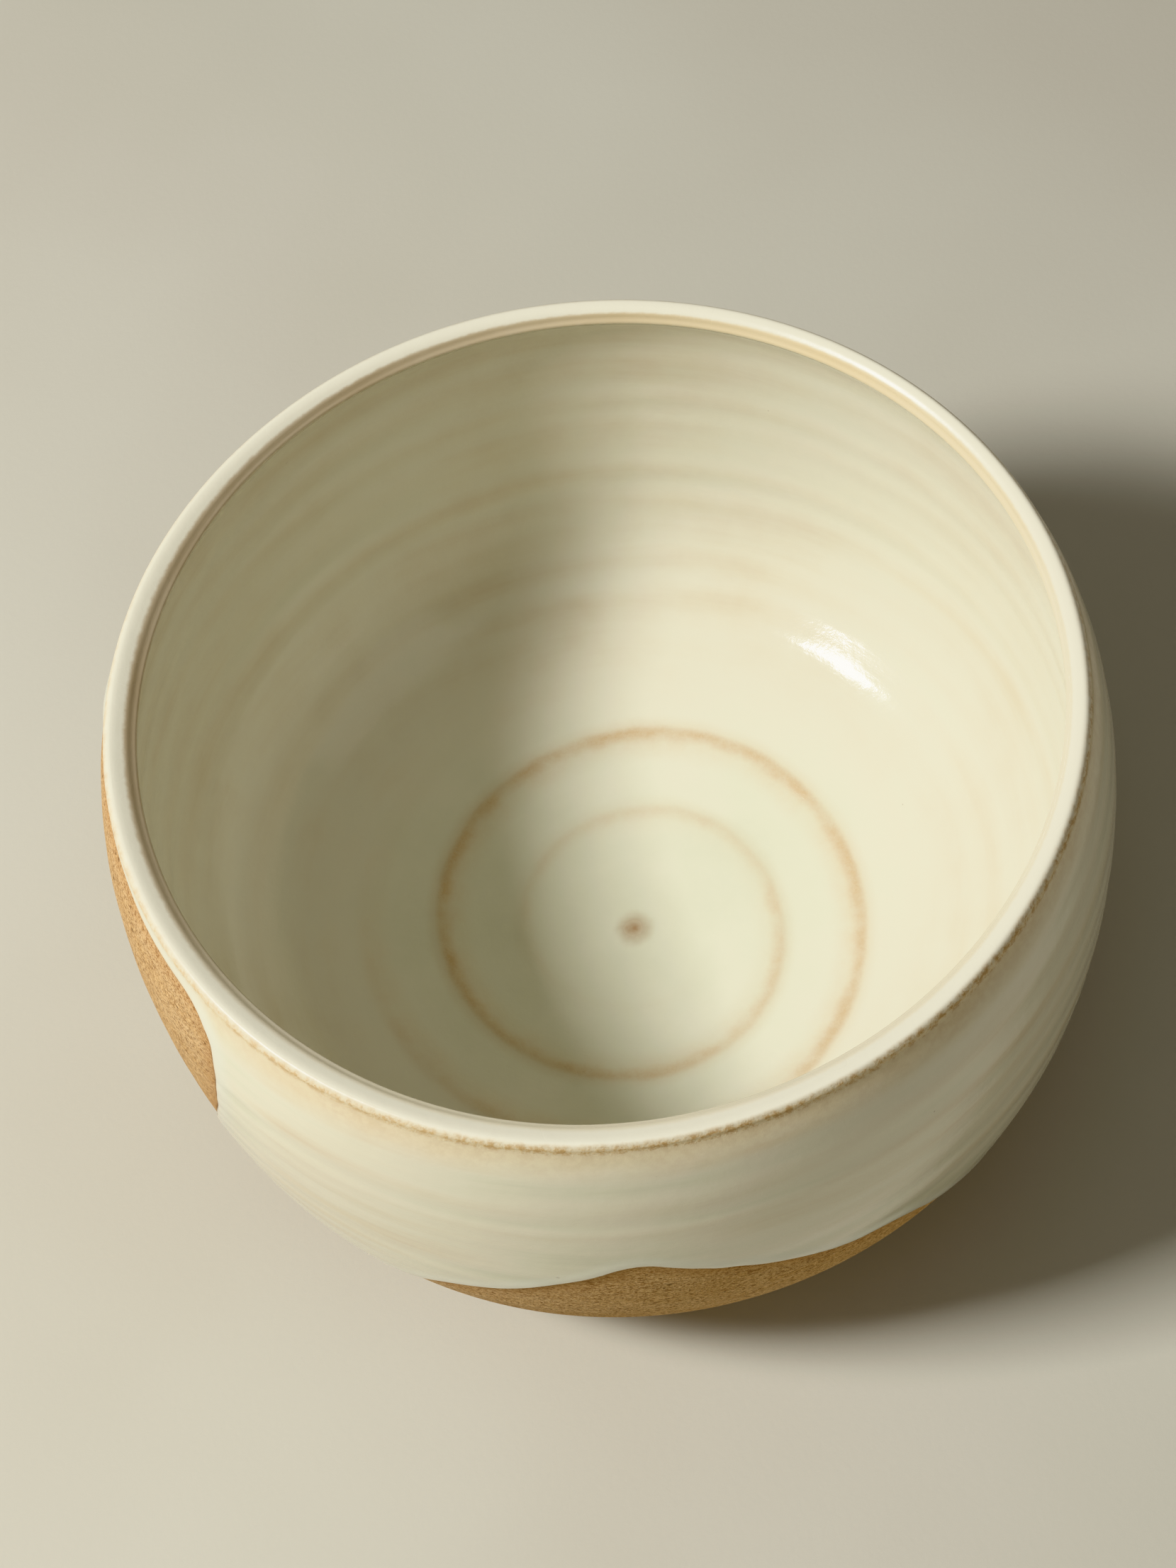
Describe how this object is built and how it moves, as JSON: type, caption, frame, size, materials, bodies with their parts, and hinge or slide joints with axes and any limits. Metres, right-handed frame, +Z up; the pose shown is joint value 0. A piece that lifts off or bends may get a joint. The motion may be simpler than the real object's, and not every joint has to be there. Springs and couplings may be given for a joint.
{
  "type": "shaving bowl",
  "caption": "Thrown stoneware shaving bowl for working up lather, with a full belly, a turned foot ring and a glossy cream glaze that stops in a wavy edge above bare clay.",
  "frame": {"origin": "centre of the foot ring, on the plane that the bowl stands on", "axes": "+Z up, along the bowl's turning axis, out of the mouth; -Y is the side with the high arch of bare clay, -X the side where the bare clay reaches up to the lip"},
  "size_m": [0.1272, 0.1278, 0.076],
  "materials": {
    "bare_clay": "unglazed fired stoneware, warm tan, fine sandy grain with fine turning lines and small dark pits, matt",
    "liner_glaze": "glossy cream glaze with a pale green cast where it is thick on the floor, thinning to tan on the throwing spiral and on the edges of the lip",
    "outer_glaze": "glossy cream glaze over soft throwing rings, slightly pinkish on the ridges, with a thin dark brown line where it stops on the clay"
  },
  "bodies": {
    "root": {"clay_body": "bare_clay", "liner_glaze": "liner_glaze", "outer_glaze": "outer_glaze"}
  },
  "joints": []
}
